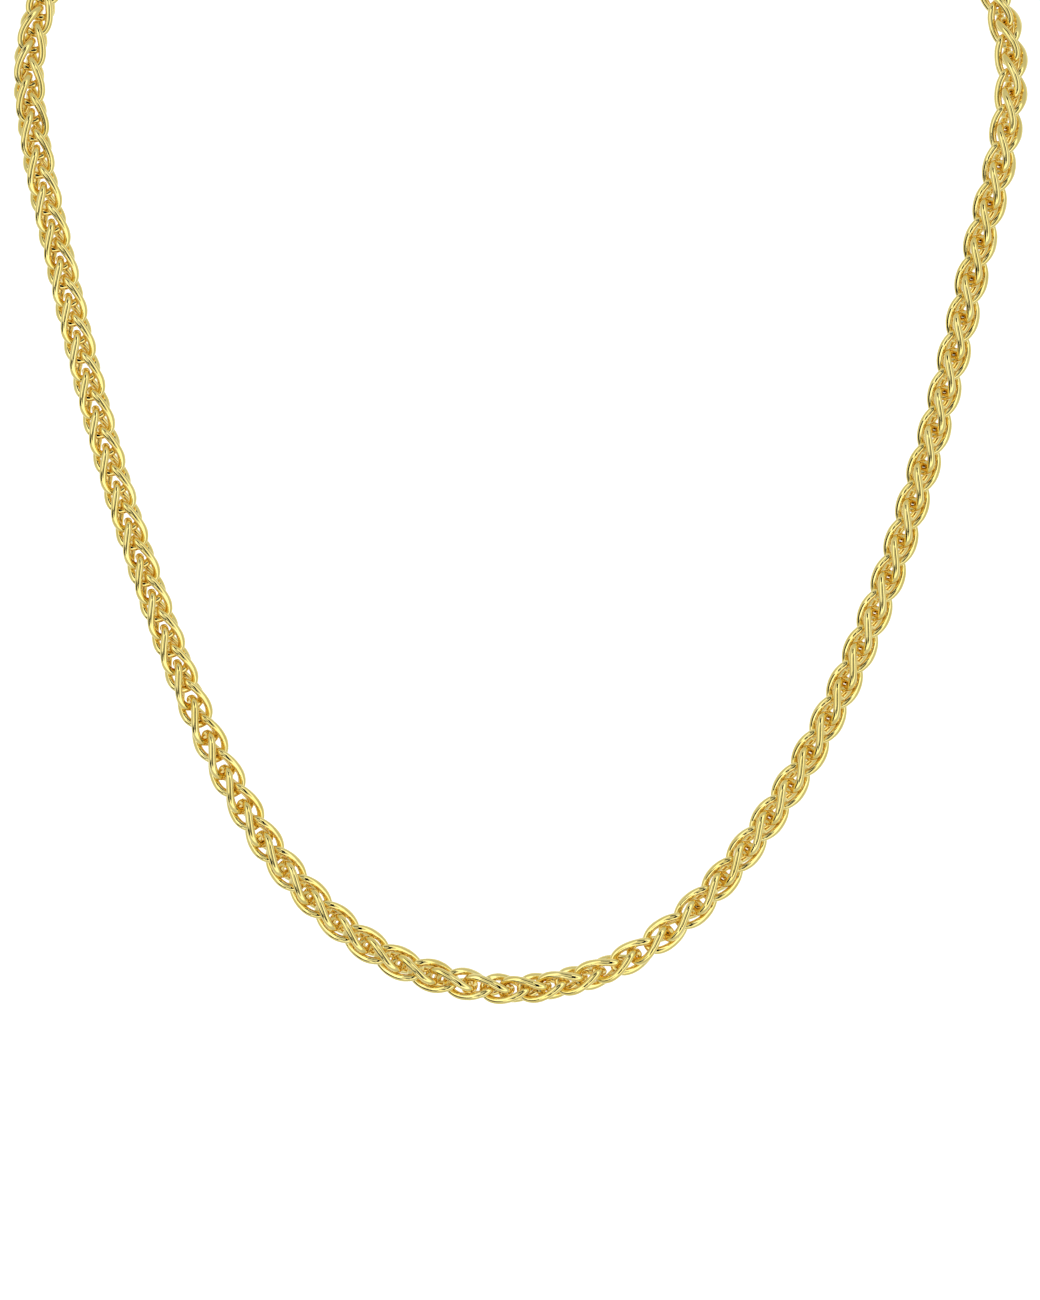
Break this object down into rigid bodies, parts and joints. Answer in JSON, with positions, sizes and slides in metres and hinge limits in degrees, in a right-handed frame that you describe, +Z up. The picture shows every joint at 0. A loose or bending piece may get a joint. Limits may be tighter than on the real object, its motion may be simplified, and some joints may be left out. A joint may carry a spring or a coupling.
{
  "type": "wheat chain necklace",
  "caption": "Closed wheat chain necklace in its worn form: a woven round chain in a deep U, carried round the nape and closed there by an oval clasp, a jump ring and end caps.",
  "frame": {"origin": "the point where the middle of the loop's back rests on the nape of the neck", "axes": "+Z up, +X across to the right as seen from the front, -Y to the front of the wearer; the front of the loop leans back 35 degrees from upright"},
  "size_m": [0.1272, 0.1155, 0.1197],
  "materials": {
    "chain_gold": "polished yellow gold",
    "fittings_gold": "polished yellow gold"
  },
  "bodies": {
    "root": {"chain": "chain_gold", "cap_left": "fittings_gold", "cap_right": "fittings_gold", "jump_ring": "fittings_gold", "clasp": "fittings_gold"}
  },
  "joints": []
}
